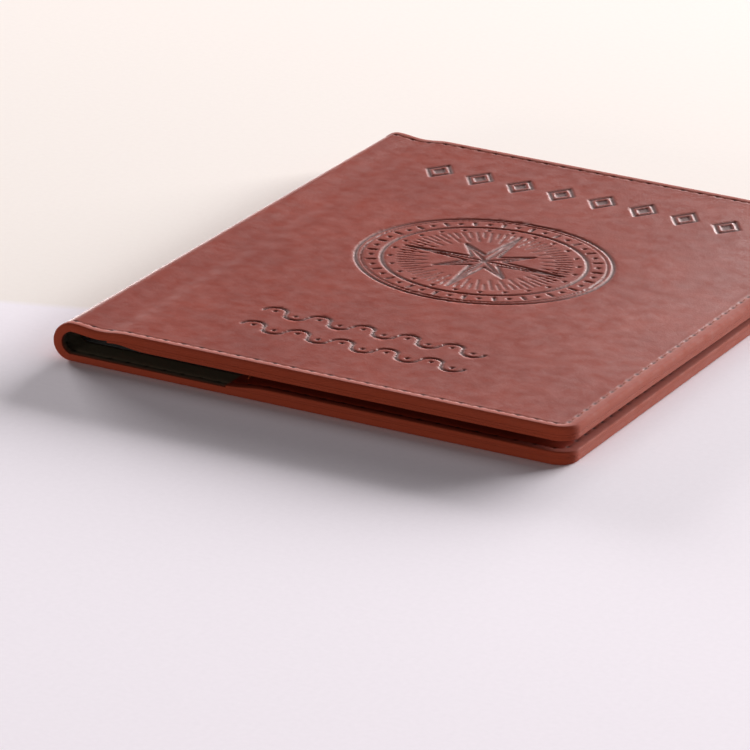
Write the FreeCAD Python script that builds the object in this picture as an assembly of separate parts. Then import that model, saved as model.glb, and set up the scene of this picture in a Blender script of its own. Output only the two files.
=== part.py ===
"""Folding passport holder in smooth brown leather, closed and lying on its rear cover.

Frame, millimetres: X runs from the spine (-X) to the fore-edge (+X), Y from the lower to the
upper edge of the covers, Z up. The origin is the middle of the closed holder's footprint.
The front cover is built face down like the rear one, then mirrored about the mid-height.
The spine is a half-round loop of leather, cut into strips along the lines where it folds.
"""

import FreeCAD, Part
import math
import os

Vector = FreeCAD.Vector

# Driving sizes of the closed holder
WIDTH = 106.0  # spine to fore-edge
HEIGHT = 140.0  # lower edge to upper edge
BOOK_SPACE = 4.4  # clear height inside the spine loop
CORNER_RADIUS = 4.0  # fore-edge corners

# Outer shell, the same in both covers and the spine
LEATHER = 0.75  # outer leather, folded once at its edges
HEM_WIDTH = 8.0  # how far the folded leather reaches inwards
BOARD = 0.35  # stiffener in each cover
FOIL = 0.1  # radio shielding sheet in each cover
EDGE_ROUND = 0.5  # rounding of the folded edge

# Spine folds
FOLDS = 4  # fold lines between the two covers
FOLD_GAP = 0.2  # slot between neighbouring strips at a fold line

# Pockets
CARD_PANEL_START = 11.5  # spine's outer face to the card panel's free edge
CARD_PANEL = 0.7
FRONT_EDGE_STRIP = 0.5  # thickness of the strips under the card panel's seam
SLEEVE_START = 36.5  # spine's outer face to the passport sleeve's mouth
SLEEVE = 0.7
REAR_EDGE_STRIP = 0.4  # thickness of the strips under the sleeve's seam
EDGE_STRIP_WIDTH = 5.0

# Card slots: open towards the spine, each strip sewn down on the other three sides
CARD_LENGTH = 85.6  # standard card, its long side along Y
CARD_SIDE_ROOM = 2.0  # slot longer than the card by this much
SLOT_NAMES = ("inner", "middle", "outer")  # from the spine to the fore-edge
SLOT_LEATHER = 0.45
SLOT_SEAM = 2.5  # width of the sewn border of a slot strip
SLOT_LEAD = 16.0  # card panel's free edge to the inner slot's mouth
SLOT_DEPTH = 44.0  # mouth to seam of the outer slot
SLOT_END = 6.0  # fore-edge to the end of the slot strips

# Seams
SEAM_INSET = 2.2  # cover's edge to the line of stitches
THREAD_WIDTH = 0.6
THREAD_DEPTH = 0.3
THREAD_SUNK = 0.05  # thread's top below the leather's face

# Pressed decoration on the front cover
PRESS_DEPTH = 0.2
LINE_WIDTH = 0.6
EMBLEM_Y = 6.0  # middle of the cover to the emblem's centre
EMBLEM_RINGS = (20.0, 25.0)  # centre lines of the two rings
EMBLEM_TICKS = 24
STAR_POINTS = 8
STAR_RADII = (17.0, 3.6, 10.5, 3.6)  # long point, notch, short point, notch
DIAMONDS = 8
DIAMOND_INSET = 18.5  # upper edge to the middle of the row
DIAMOND_PITCH = 9.0
DIAMOND_HALF = (3.0, 4.8)
WAVE_INSETS = (27.5, 18.5)  # lower edge to the middle of each row
WAVE_ARCS = 10
WAVE_RADIUS = 2.3

# Worked out from the sizes above
SHELL = 2 * LEATHER
LINING = LEATHER - BOARD - FOIL
THICKNESS = 2 * SHELL + BOOK_SPACE
LOOP_RADIUS = THICKNESS / 2
LOOP_INSIDE = LOOP_RADIUS - SHELL
SPINE_FACE = -WIDTH / 2
LOOP_CENTRE = SPINE_FACE + LOOP_RADIUS
FORE_EDGE = WIDTH / 2
FOLD_ANGLE = 180.0 / FOLDS
PANEL_START = SPINE_FACE + CARD_PANEL_START
MOUTH = SPINE_FACE + SLEEVE_START
GROOVE = THREAD_SUNK + THREAD_DEPTH
SLOT_LENGTH = CARD_LENGTH + CARD_SIDE_ROOM + 2 * SLOT_SEAM
SMALLEST_CORNER = 0.3
ROUNDING_LIMIT = 0.9 * LEATHER  # a rounding leaves some of the leather's thickness
SAME_PLACE = 1e-6  # closer than this counts as lying on a plane or line
OVERRUN = 1.0  # how far a cutting block runs past what it cuts


def block(x0, x1, y0, y1, z0, z1):
    return Part.makeBox(x1 - x0, y1 - y0, z1 - z0, Vector(x0, y0, z0))


def joined(shapes):
    solid = shapes[0].fuse(shapes[1:]) if len(shapes) > 1 else shapes[0]
    return solid.removeSplitter()


def prism(points, z0, z1):
    corners = [Vector(x, y, z0) for x, y in points]
    return Part.Face(Part.makePolygon(corners + corners[:1])).extrude(Vector(0, 0, z1 - z0))


def outline(start, inset, level, thickness):
    """Cover-shaped plate from x = start, its other three sides inset from the cover's edge."""
    x1, y1 = FORE_EDGE - inset, HEIGHT / 2 - inset
    r = max(CORNER_RADIUS - inset, SMALLEST_CORNER)
    s = r * math.sqrt(0.5)
    low_middle = Vector(x1 - r + s, -y1 + r - s, level)
    high_middle = Vector(x1 - r + s, y1 - r + s, level)
    corners = [
        Vector(start, -y1, level),
        Vector(x1 - r, -y1, level),
        Vector(x1, -y1 + r, level),
        Vector(x1, y1 - r, level),
        Vector(x1 - r, y1, level),
        Vector(start, y1, level),
    ]
    edges = [
        Part.makeLine(corners[0], corners[1]),
        Part.Arc(corners[1], low_middle, corners[2]).toShape(),
        Part.makeLine(corners[2], corners[3]),
        Part.Arc(corners[3], high_middle, corners[4]).toShape(),
        Part.makeLine(corners[4], corners[5]),
        Part.makeLine(corners[5], corners[0]),
    ]
    return Part.Face(Part.Wire(edges)).extrude(Vector(0, 0, thickness))


def border(start, inner, outer, level, thickness):
    """Strip along the three outer sides of a cover, between two distances from its edge."""
    hole = outline(start - OVERRUN, inner, level - OVERRUN, thickness + 2 * OVERRUN)
    return outline(start, outer, level, thickness).cut(hole)


def loop_point(radius, angle, y):
    """Point of the spine loop: 0 degrees at the bottom, 90 at the spine's face, 180 at the top."""
    a = math.radians(angle)
    return Vector(LOOP_CENTRE - radius * math.sin(a), y, LOOP_RADIUS - radius * math.cos(a))


def loop_arc(radius, first, last, y):
    angles = (first, (first + last) / 2, last)
    return Part.Arc(*[loop_point(radius, angle, y) for angle in angles]).toShape()


def loop_piece(inner, outer, first, last, y0, y1):
    """Part of the spine loop between two radii and two angles, from y0 to y1."""
    edges = [
        loop_arc(outer, first, last, y0),
        Part.makeLine(loop_point(outer, last, y0), loop_point(inner, last, y0)),
        loop_arc(inner, last, first, y0),
        Part.makeLine(loop_point(inner, first, y0), loop_point(outer, first, y0)),
    ]
    return Part.Face(Part.Wire(edges)).extrude(Vector(0, y1 - y0, 0))


def fold_slots():
    """Parallel-sided slots through the loop's wall, one along each fold line."""
    slots = []
    end = HEIGHT / 2 + OVERRUN
    for i in range(FOLDS):
        low, high = -LOOP_RADIUS - OVERRUN, -LOOP_INSIDE + OVERRUN
        slot = block(-FOLD_GAP / 2, FOLD_GAP / 2, -end, end, low, high)
        slot.rotate(Vector(0, 0, 0), Vector(0, 1, 0), FOLD_ANGLE * (i + 0.5))
        slot.translate(Vector(LOOP_CENTRE, 0, LOOP_RADIUS))
        slots.append(slot)
    return slots


def clear_of_folds(shapes):
    return [shape.cut(fold_slots()) for shape in shapes]


def loop_leather(first, last):
    """Outer leather of the loop between two angles, with its folded hem at both ends."""
    end, middle = HEIGHT / 2, LOOP_RADIUS - LEATHER
    skin = loop_piece(middle, LOOP_RADIUS, first, last, -end, end)
    low_hem = loop_piece(LOOP_INSIDE, middle, first, last, -end, -end + HEM_WIDTH)
    high_hem = loop_piece(LOOP_INSIDE, middle, first, last, end - HEM_WIDTH, end)
    return [skin, low_hem, high_hem]


def loop_lining(thickness, first, last):
    """Lining of the loop between two angles, filling the space between its hems."""
    end = HEIGHT / 2 - HEM_WIDTH
    return loop_piece(LOOP_INSIDE, LOOP_INSIDE + thickness, first, last, -end, end)


def loop_seams(first, last, low, high):
    """The seam's two short runs over the loop, between two radii."""
    y, half = HEIGHT / 2 - SEAM_INSET, THREAD_WIDTH / 2
    return [loop_piece(low, high, first, last, s * y - half, s * y + half) for s in (-1, 1)]


def loop_threads(first, last):
    """Needle thread on the loop's outer face and bobbin thread on its inner face."""
    outer_top, inner_top = LOOP_RADIUS - THREAD_SUNK, LOOP_INSIDE + THREAD_SUNK
    outer = loop_seams(first, last, outer_top - THREAD_DEPTH, outer_top)
    inner = loop_seams(first, last, inner_top, inner_top + THREAD_DEPTH)
    return clear_of_folds(outer), clear_of_folds(inner)


def loop_grooves(first, last):
    outer = loop_seams(first, last, LOOP_RADIUS - GROOVE, LOOP_RADIUS + OVERRUN)
    return outer + loop_seams(first, last, LOOP_INSIDE - OVERRUN, LOOP_INSIDE + GROOVE)


def seam(start, level, depth):
    """Run along a cover's three sewn sides, from x = start."""
    half = THREAD_WIDTH / 2
    return border(start, SEAM_INSET + half, SEAM_INSET - half, level, depth)


def side_seams(start, stop, level, depth):
    """Two straight runs along the lower and the upper edge."""
    y, half = HEIGHT / 2 - SEAM_INSET, THREAD_WIDTH / 2
    return [block(start, stop, s * y - half, s * y + half, level, level + depth) for s in (-1, 1)]


def rounded_fold(body):
    """Rounds the outer corners of the folded edge, on the cover's and the loop's outer face."""
    edges = []
    for edge in body.Edges:
        box, middle = edge.BoundBox, edge.CenterOfMass
        across = box.YLength < SAME_PLACE and abs(abs(box.YMin) - HEIGHT / 2) < SAME_PLACE
        radius = math.hypot(middle.x - LOOP_CENTRE, middle.z - LOOP_RADIUS)
        outside = radius > LOOP_RADIUS - LEATHER / 2
        on_loop = across and outside and middle.x < LOOP_CENTRE - SAME_PLACE
        on_cover = box.ZMax < SAME_PLACE and middle.x > LOOP_CENTRE + SAME_PLACE
        if (on_cover or on_loop) and edge.Length > EDGE_ROUND:
            edges.append(edge)
    return body.makeFillet(min(EDGE_ROUND, ROUNDING_LIMIT), edges)


def cover_leather(pocket_start):
    """A cover's leather with its hem, its share of the spine loop and the thread grooves."""
    share = FOLD_ANGLE / 2
    plate = outline(LOOP_CENTRE, 0, 0, LEATHER)
    hem = border(LOOP_CENTRE, HEM_WIDTH, 0, LEATHER, LEATHER)
    body = joined([plate, hem] + loop_leather(0, share))
    cuts = [seam(LOOP_CENTRE, -OVERRUN, OVERRUN + GROOVE)]
    cuts += side_seams(LOOP_CENTRE, pocket_start, SHELL - GROOVE, GROOVE + OVERRUN)
    cuts += loop_grooves(0, share) + fold_slots()[:1]
    return rounded_fold(body).cut(cuts)


def cover_sheet(level, thickness):
    """Sheet that fills the space inside a cover's hem."""
    return outline(LOOP_CENTRE, HEM_WIDTH, level, thickness)


def cover_lining():
    """Lining of a cover, carried on into the spine loop as far as the first fold."""
    sheet = cover_sheet(LEATHER + BOARD + FOIL, LINING)
    return joined([sheet, loop_lining(LINING, 0, FOLD_ANGLE / 2)]).cut(fold_slots()[:1])


def pocket_plate(start, level, thickness):
    """A pocket's leather from its free edge to the cover's edge, with the seam's groove."""
    groove = seam(start, level + thickness - GROOVE, GROOVE + OVERRUN)
    return outline(start, 0, level, thickness).cut(groove)


def edge_strips(start, thickness):
    """Three strips on the hem that lift a pocket's leather along its sewn sides."""
    rim = border(start, EDGE_STRIP_WIDTH, 0, SHELL, thickness)
    inner_y = HEIGHT / 2 - EDGE_STRIP_WIDTH
    inner_x = FORE_EDGE - EDGE_STRIP_WIDTH
    low, high = SHELL - OVERRUN, SHELL + thickness + OVERRUN
    far = HEIGHT / 2 + OVERRUN
    return {
        "lower": rim.common(block(start, inner_x, -far, -inner_y, low, high)),
        "upper": rim.common(block(start, inner_x, inner_y, far, low, high)),
        "fore": rim.common(block(inner_x, FORE_EDGE + OVERRUN, -far, far, low, high)),
    }


def cover_threads(pocket_start, pocket_top):
    """Needle thread on the outer face and bobbin thread on the inner faces of a cover."""
    loop_outer, loop_inner = loop_threads(0, FOLD_ANGLE / 2)
    needle = joined([seam(LOOP_CENTRE, THREAD_SUNK, THREAD_DEPTH)] + loop_outer)
    sides = side_seams(LOOP_CENTRE, pocket_start, SHELL - GROOVE, THREAD_DEPTH)
    bobbin = [joined([side, loop]) for side, loop in zip(sides, loop_inner)]
    bobbin.append(seam(pocket_start, pocket_top - GROOVE, THREAD_DEPTH))
    return needle, Part.makeCompound(bobbin)


def cover(side, pocket_start, strip_thickness, pocket, pocket_thickness):
    """Everything one cover carries, outer face down. Returns the nodes and the pocket's top."""
    level = SHELL + strip_thickness
    top = level + pocket_thickness
    needle, bobbin = cover_threads(pocket_start, top)
    parts = {
        side + "_leather": cover_leather(pocket_start),
        side + "_board": cover_sheet(LEATHER, BOARD),
        side + "_shield_foil": cover_sheet(LEATHER + BOARD, FOIL),
        side + "_lining": cover_lining(),
        pocket: pocket_plate(pocket_start, level, pocket_thickness),
        side + "_seam_thread": needle,
        side + "_bobbin_thread": bobbin,
    }
    for name, strip in edge_strips(pocket_start, strip_thickness).items():
        parts[side + "_edge_strip_" + name] = strip
    return parts, top


def rear_cover():
    parts, top = cover("rear", MOUTH, REAR_EDGE_STRIP, "passport_sleeve", SLEEVE)
    x, half = MOUTH + SEAM_INSET, THREAD_WIDTH / 2
    run = HEIGHT / 2 - 2 * SEAM_INSET
    groove = block(x - half, x + half, -run, run, top - GROOVE, top + OVERRUN)
    thread = block(x - half, x + half, -run, run, top - GROOVE, top - THREAD_SUNK)
    parts["passport_sleeve"] = parts["passport_sleeve"].cut(groove)
    parts["sleeve_mouth_thread"] = thread
    return parts


def slot_thread(x0, x1, face, closed):
    """Thread along a slot strip's two sides, and along its end where closed is true."""
    half = THREAD_WIDTH / 2
    y = SLOT_LENGTH / 2 - SLOT_SEAM / 2
    low, high = face - GROOVE, face - THREAD_SUNK
    end = x1 - SLOT_SEAM / 2
    stop = end + half if closed else x1
    runs = [block(x0, stop, s * y - half, s * y + half, low, high) for s in (-1, 1)]
    if closed:
        runs = [joined(runs + [block(end - half, end + half, -y, y, low, high)])]
    return runs


def card_slots(level):
    """Slot strips lying on each other, each mouth one step further from the spine."""
    parts, threads = {}, []
    end = FORE_EDGE - SLOT_END
    outer_mouth = end - SLOT_SEAM - SLOT_DEPTH
    last = len(SLOT_NAMES) - 1
    step = (outer_mouth - PANEL_START - SLOT_LEAD) / last
    for i, name in enumerate(SLOT_NAMES):
        mouth = outer_mouth - (last - i) * step
        face = level + (i + 1) * SLOT_LEATHER
        strip = block(mouth, end, -SLOT_LENGTH / 2, SLOT_LENGTH / 2, face - SLOT_LEATHER, face)
        stop = end if i == last else mouth + step
        runs = slot_thread(mouth + SEAM_INSET / 2, stop, face, i == last)
        room = [run.fuse(run.translated(Vector(0, 0, GROOVE))) for run in runs]
        parts["card_slot_" + name] = strip.cut(room)
        threads += runs
    parts["card_slot_threads"] = Part.makeCompound(threads)
    return parts


def emblem():
    """Rings with ticks between them around an eight-pointed star, as solids to press in."""
    low, high = -OVERRUN, PRESS_DEPTH
    centre, half = Vector(0, EMBLEM_Y, low), LINE_WIDTH / 2
    shapes = []
    for radius in EMBLEM_RINGS:
        disc = Part.makeCylinder(radius + half, high - low, centre)
        shapes.append(disc.cut(Part.makeCylinder(radius - half, high - low, centre)))
    inner, outer = EMBLEM_RINGS
    for i in range(EMBLEM_TICKS):
        tick = block(inner + 2 * LINE_WIDTH, outer - 2 * LINE_WIDTH, -half, half, low, high)
        tick.rotate(Vector(0, 0, 0), Vector(0, 0, 1), 360.0 * i / EMBLEM_TICKS)
        shapes.append(tick.translated(Vector(0, EMBLEM_Y, 0)))
    star = []
    for i in range(2 * STAR_POINTS):
        angle = math.pi * i / STAR_POINTS
        radius = STAR_RADII[i % len(STAR_RADII)]
        star.append((radius * math.sin(angle), EMBLEM_Y + radius * math.cos(angle)))
    return shapes + [prism(star, low, high)]


def diamond_row():
    low, high = -OVERRUN, PRESS_DEPTH
    half_x, half_y = DIAMOND_HALF
    y = HEIGHT / 2 - DIAMOND_INSET
    shapes = []
    for i in range(DIAMONDS):
        x = DIAMOND_PITCH * (i - (DIAMONDS - 1) / 2)
        corners = [(x - half_x, y), (x, y - half_y), (x + half_x, y), (x, y + half_y)]
        shapes.append(prism(corners, low, high))
    return shapes


def wave_rows():
    """Rows of half rings, opening down and up in turn, that make a running wave."""
    low, high = -OVERRUN, PRESS_DEPTH
    inner, outer = WAVE_RADIUS - LINE_WIDTH / 2, WAVE_RADIUS + LINE_WIDTH / 2
    shapes = []
    for inset in WAVE_INSETS:
        y = inset - HEIGHT / 2
        for i in range(WAVE_ARCS):
            x = 2 * WAVE_RADIUS * (i - (WAVE_ARCS - 1) / 2)
            base = Vector(x, y, low)
            ring = Part.makeCylinder(outer, high - low, base)
            ring = ring.cut(Part.makeCylinder(inner, high - low, base))
            y0, y1 = (y, y + 2 * outer) if i % 2 == 0 else (y - 2 * outer, y)
            shapes.append(ring.common(block(x - 2 * outer, x + 2 * outer, y0, y1, low, high)))
    return shapes


def mirrored(shape):
    return shape.mirror(Vector(0, 0, THICKNESS / 2), Vector(0, 0, 1))


def front_cover():
    """The front cover with its card slots and pressed decoration, mirrored into place."""
    parts, top = cover("front", PANEL_START, FRONT_EDGE_STRIP, "card_panel", CARD_PANEL)
    parts.update(card_slots(top))
    pressed = emblem() + diamond_row() + wave_rows()
    parts["front_leather"] = parts["front_leather"].cut(pressed)
    return {name: mirrored(shape) for name, shape in parts.items()}


def spine():
    """The loop's strips between the fold lines, each with its lining and its bits of seam."""
    parts = {}
    for i in range(FOLDS - 1):
        first, last = FOLD_ANGLE * (i + 0.5), FOLD_ANGLE * (i + 1.5)
        leather = rounded_fold(joined(loop_leather(first, last)))
        outer, inner = loop_threads(first, last)
        number = str(i + 1)
        parts["spine_leather_" + number] = leather.cut(loop_grooves(first, last) + fold_slots())
        parts["spine_lining_" + number] = loop_lining(LEATHER, first, last).cut(fold_slots())
        parts["spine_threads_" + number] = Part.makeCompound(outer + inner)
    return parts


def main():
    os.makedirs("parts", exist_ok=True)
    parts = {}
    for group in (rear_cover(), front_cover(), spine()):
        parts.update(group)
    for name, shape in parts.items():
        good = all(solid.isValid() and solid.Volume > 0 for solid in shape.Solids)
        print(f"{name:22s} solids {len(shape.Solids)} volume {shape.Volume:9.2f} valid {good}")
        shape.exportStep("parts/" + name + ".step")
    for i in range(FOLDS):
        axis = loop_point(LOOP_RADIUS, FOLD_ANGLE * (i + 0.5), 0)
        print(f"fold {i + 1} turns about x {axis.x:.4f} z {axis.z:.4f}")


main()
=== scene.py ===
"""Looks of a folding passport holder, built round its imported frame.

Lengths are in millimetres and become metres only where a mesh is made. A cover is described
lying on its outer face: x and y as in the frame, and depth inwards from that face. The front
cover is the same thing turned over. q counts stitches along a seam, s is the distance from
the cover's edge.
"""

import math
from collections import namedtuple

import bmesh
import bpy
import numpy as np
from mathutils import Matrix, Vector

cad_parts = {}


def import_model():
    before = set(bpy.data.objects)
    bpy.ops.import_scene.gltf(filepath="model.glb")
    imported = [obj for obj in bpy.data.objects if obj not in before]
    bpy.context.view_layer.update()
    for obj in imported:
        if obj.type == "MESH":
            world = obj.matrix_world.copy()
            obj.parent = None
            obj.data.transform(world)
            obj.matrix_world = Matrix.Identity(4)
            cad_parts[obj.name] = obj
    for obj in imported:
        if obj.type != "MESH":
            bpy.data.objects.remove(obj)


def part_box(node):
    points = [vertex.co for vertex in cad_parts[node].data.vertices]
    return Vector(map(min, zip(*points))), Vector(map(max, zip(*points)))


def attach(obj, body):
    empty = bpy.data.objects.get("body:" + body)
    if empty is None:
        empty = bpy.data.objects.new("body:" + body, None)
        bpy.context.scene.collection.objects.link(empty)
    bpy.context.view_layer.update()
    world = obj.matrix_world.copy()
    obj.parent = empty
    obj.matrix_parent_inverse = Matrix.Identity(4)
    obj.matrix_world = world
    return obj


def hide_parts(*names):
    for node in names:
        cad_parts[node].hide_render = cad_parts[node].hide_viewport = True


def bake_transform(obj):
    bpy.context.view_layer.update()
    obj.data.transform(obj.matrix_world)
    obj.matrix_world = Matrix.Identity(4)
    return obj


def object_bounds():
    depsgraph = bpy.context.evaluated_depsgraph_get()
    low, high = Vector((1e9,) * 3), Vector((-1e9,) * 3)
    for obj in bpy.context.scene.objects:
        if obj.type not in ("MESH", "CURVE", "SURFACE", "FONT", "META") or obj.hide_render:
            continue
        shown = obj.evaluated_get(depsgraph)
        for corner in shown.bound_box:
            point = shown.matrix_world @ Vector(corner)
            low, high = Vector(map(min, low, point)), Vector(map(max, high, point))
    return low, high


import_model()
cad_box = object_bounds()

MM = 0.001


def box_mm(node):
    """Lowest and highest corner of a CAD node, in millimetres."""
    low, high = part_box(node)
    return [value / MM for value in low], [value / MM for value in high]


# Sizes read from the frame
SPINE_X = cad_box[0][0] / MM
FORE_X = cad_box[1][0] / MM
HALF_Y = cad_box[1][1] / MM
THICK = cad_box[1][2] / MM
LOOP_R = THICK / 2
LOOP_X = SPINE_X + LOOP_R  # axis of the half-round spine loop
BOARD_LOW, BOARD_HIGH = box_mm("rear_board")
LEATHER = BOARD_LOW[2]
HEM = FORE_X - BOARD_HIGH[0]
FOIL_TOP = box_mm("rear_shield_foil")[1][2]
SHELL = box_mm("rear_edge_strip_fore")[0][2]  # thickness of a cover with its hem
STRIP_WIDTH = FORE_X - box_mm("rear_edge_strip_fore")[0][0]
SLEEVE_START = box_mm("passport_sleeve")[0][0]
PANEL_START = box_mm("card_panel")[0][0]

# Parts of the frame's names
SLOTS = ("inner", "middle", "outer")
LOOP_BODIES = ("rear_cover", "spine_strip_1", "spine_strip_2", "spine_strip_3", "front_cover")
FOLDS = len(LOOP_BODIES) - 1

# Outline and seam of the covers
CORNER = 4.0
SAMPLES = 8  # mesh sections per stitch
PITCH = 3.78  # length of one stitch
SEAM = 2.2  # edge to the line of stitches
LOOP_STITCHES = 3  # stitches over the spine loop at each end
FOLD_STEP = 45.0  # degrees of loop in each piece
ARC_SECTIONS = 24

# Shape of the leather's outer face. A BAND is a pair of distances from the edge.
EDGE_OUT = 0.65  # rounding of the folded edge, outer side
EDGE_IN = 0.08  # and inner side
GROOVE_DEPTH = 0.07
GROOVE_WIDTH = 0.42
HOLE_DEPTH = 0.09
HOLE_SIZE = (0.42, 0.34)  # reach of a stitch hole along the seam and across it
FIELD_DEPTH = 0.09  # the face inside the seam lies this much lower
FIELD_BAND = (1.3, 3.4)
LOOP_BEAD = 0.45  # how much thicker the spine loop's hem is at its open ends
LOOP_BEAD_BAND = (1.2, 3.4)
LOOP_BEAD_SHAPE = 0.7
PRESS_DEPTH = 0.18
HOLLOW = 0.45  # front cover's dip beside the spine
HOLLOW_END = -38.0  # x where the dip ends
SAG = 0.9  # front cover's sag at the fore-edge
SAG_X = (25, 60)  # where the sag begins and is full
SAG_Y = (-65, 20)
WAVER = 0.05  # slow unevenness of the face
WAVER_EDGE = (1.5, 5)
WAVER_SPINE = 8  # length beside the spine loop over which it begins
WAVER_LENGTHS = (9.5, 21, 13.0, 31)
BOBBIN_SHARE = 0.7  # relief of the seam's inner side, as a share

# Bands of the worn colour, the rim's colour and the hem's grey-green tint with painted shade
EDGE_BAND = (1.3, 2.7)
RIM_BAND = (0.05, 0.5)
TINT_SHADE_BAND = (0.5, 1.1)

# Pressed decoration
LINE = 0.3  # half width of a pressed line
SOFT = 0.3  # width of a pressed line's sloping side
FINE_SOFT = 0.2  # the same for a fine line
FINE_PRESS = 0.8  # a fine line's depth, as a share of the others'
EMBLEM_Y = 6.0
RINGS = (20.0, 25.0)
FINE_RING_INSET = 1.1
FINE_RING = 0.14
TICKS = 24
TICK_START = (0.9, 1.2)  # outside the inner ring
TICK_END = (2.1, 1.8)  # inside the outer ring
DOT = 0.45  # radius of the dots between the ticks
DOT_INSET = 0.5  # from midway between the rings
SMALL_DOT = 0.4
SMALL_DOT_INSET = 1.7  # from the inner ring
STAR = ((17.0, 0.0), (3.6, 22.5), (10.5, 45.0))  # radius, angle of long point, notch, short point
STAR_OUTLINE = 0.26
STAR_RIB = 0.2
HATCH = 0.16
HATCH_PITCH = 0.9
RAYS = 72
RAY = 0.15
RAY_SOFT = 0.24
RAY_START = 11.0
RAY_SHORT = 13.5
RAY_END = 17.3
RAY_FADE = 0.4
RAY_CLEAR = (0.5, 0.9)  # distance from the star over which the rays begin
DIAMONDS = 8
DIAMOND_Y = 51.5
DIAMOND_PITCH = 9.0
DIAMOND_HALF = (3.0, 4.8)
DIAMOND_FRAME = 0.35  # middle of the frame line, in from the outline
DIAMOND_LINE = 0.36
DIAMOND_CORE = (1.25, 1.45)  # distances inwards between which the middle goes down
WAVE_ROWS = (-42.5, -51.5)
WAVES = 10
WAVE_RADIUS = 2.3
WAVE_DOT = 0.42
WAVE_DOT_RISE = 0.35  # from the centre of its arc
NO_LINE = 9  # a distance beyond any line
FINE_MARGIN = 1.2  # reach of the finer mesh beyond the decoration

# Pockets inside
SKIVE = 8.0  # width over which a pocket's leather thins towards its free edge
SKIVED = 0.35  # share of its thickness left there
POCKET_ROUND = (0.03, 0.3)  # rounding of a pocket's edge, outer and inner side
POCKET_UNDER = (3.6, 1.0)  # mesh lines on its hidden face
POCKET_GRID = 3.7
MOUTH_GROOVE = 0.16  # groove of the seam along the sleeve's mouth
MOUTH_GROOVE_WIDTH = 0.9
MOUTH_GROOVE_BAND = (3, 4)
MOUTH_ROLL = 0.18  # rounding down of a mouth's free edge
MOUTH_ROLL_WIDTH = 0.5
MOUTH_ROLL_BAND = (0.5, 3)
SLOT_LIFT = 0.12  # how far a card slot's mouth stands off
SLOT_LIFT_RUN = 9
SLOT_LIFT_BAND = (2.5, 12)
SLOT_CORNER = 0.5
SLOT_CELL = 3  # length of a mesh section along a slot's edge
SLOT_ROUND = 0.15
SLOT_RIM = 0.6
STRIP_ROUND = 0.05
STRIP_CORNER = 0.04
STRIP_MIDDLE = 2.5

# Flat sheets inside the shell
GAP = 0.02  # room at the edge of sheets that lie beside each other
FACE_GAP = 0.01  # room between sheets that lie on each other
SHEET_ROUND = 0.1
SHEET_RIM = 1  # from the hem's inner edge to a sheet's mesh grid
NEARLY_TWO = 2.01  # a sheet's rounding stays just under half its thickness

# Mesh lines of the leather's outer face and hem, in from the edge and closest at the seam
FACE_INSETS = (3.7, 3.3, 3.0, 2.8, 2.62, 2.48, 2.36, 2.27, 2.2, 2.13, 2.04, 1.92, 1.78, 1.6)
FACE_INSETS += (1.35, 1.0, 0.8, 0.65)
HEM_INSETS = (0.9, 1.5, 1.85, 2.0, 2.1, 2.2, 2.3, 2.4, 2.55, 2.9, 3.6, 5.0, 6.4, 7.4)
HEM_END = ((0.2, 0.02), (0.05, 0.12))  # rounding of the hem's cut edge
UNDER_HEM = 0.5

# Meshes
SAME = 1e-4  # points closer than this are one
GRID_GAP = 0.3  # from a plate's rim to the grid inside it
FINE_CUTS = 2  # cuts in each mesh edge under the decoration
BACK_POINTS = 36
LINING_POINTS = 125
OUTER_ANGLES = (15, 32, 50, 68, 90)  # degrees round an edge's outer rounding
INNER_ANGLES = (90, 68, 45, 22, 0)  # and on round its inner one

# Shift of the leather's pattern from piece to piece
REAR_GRAIN = -240.0
STRIP_GRAIN = 77.0
GRAIN_PER_LETTER = 130.0

# A single stitch: a tube that sinks into its holes at both ends
STITCH_MESH = (9, 8)  # mesh points along it and round it
STITCH_START = 0.12  # share of the pitch before a stitch
STITCH_RUN = 0.76  # and covered by it
STITCH_SWELL = 0.45
STITCH_END = 0.35  # share of its girth left at its ends
STITCH_SLANT = 0.08
STITCH_HALF_WIDTH = 0.25
STITCH_HALF_HEIGHT = 0.19
STITCH_SINK = 0.40
STITCH_RISE = 0.16
MOUTH_STITCH_SINK = 0.06
SLOT_STITCH_SINK = 0.08
SLOT_PITCH = 3.2
SLOT_BORDER = 1.25  # a slot's edge to its line of stitches
SLOT_SEAM_START = 0.8

Outline = namedtuple("Outline", "start fore half_y corner low side")


def stitches_for(length):
    return max(1, round(length / PITCH))


def cover_outline(start):
    """Outline of something that covers a cover from x = start to its three free edges."""
    low = stitches_for(FORE_X - CORNER - start)
    return Outline(start, FORE_X, HALF_Y, CORNER, low, stitches_for(2 * (HALF_Y - CORNER)))


COVER = cover_outline(LOOP_X)
PANEL = cover_outline(PANEL_START)
SLEEVE = cover_outline(SLEEVE_START)


def smooth(low, high, value):
    t = np.clip((value - low) / (high - low), 0, 1)
    return t * t * (3 - 2 * t)


def route(q, s, outline):
    """Point of the way round three sides: q stitches along it, s in from the edge."""
    o = outline
    middle = np.maximum(s, o.corner)
    radius = middle - s
    low_run = np.clip(q / o.low, 0, 1)
    first_turn = np.clip(q - o.low, 0, 1)
    side_run = np.clip((q - o.low - 1) / o.side, 0, 1)
    second_turn = np.clip(q - o.low - 1 - o.side, 0, 1)
    high_run = np.clip((q - o.low - o.side - 2) / o.low, 0, 1)
    turn = (first_turn + second_turn - 1) * math.pi / 2
    x = o.start + (low_run - high_run) * (o.fore - middle - o.start) + radius * np.cos(turn)
    y = (2 * side_run - 1) * (o.half_y - middle) + radius * np.sin(turn)
    return x, y


def front_drop(x, y):
    """How far the front cover has sunk: a hollow beside the spine, a sag at the fore-edge."""
    t = np.clip((x - LOOP_X) / (HOLLOW_END - LOOP_X), 0, 1)
    return HOLLOW * np.sin(math.pi * t) ** 2 + SAG * smooth(*SAG_X, x) * smooth(*SAG_Y, y)


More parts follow.
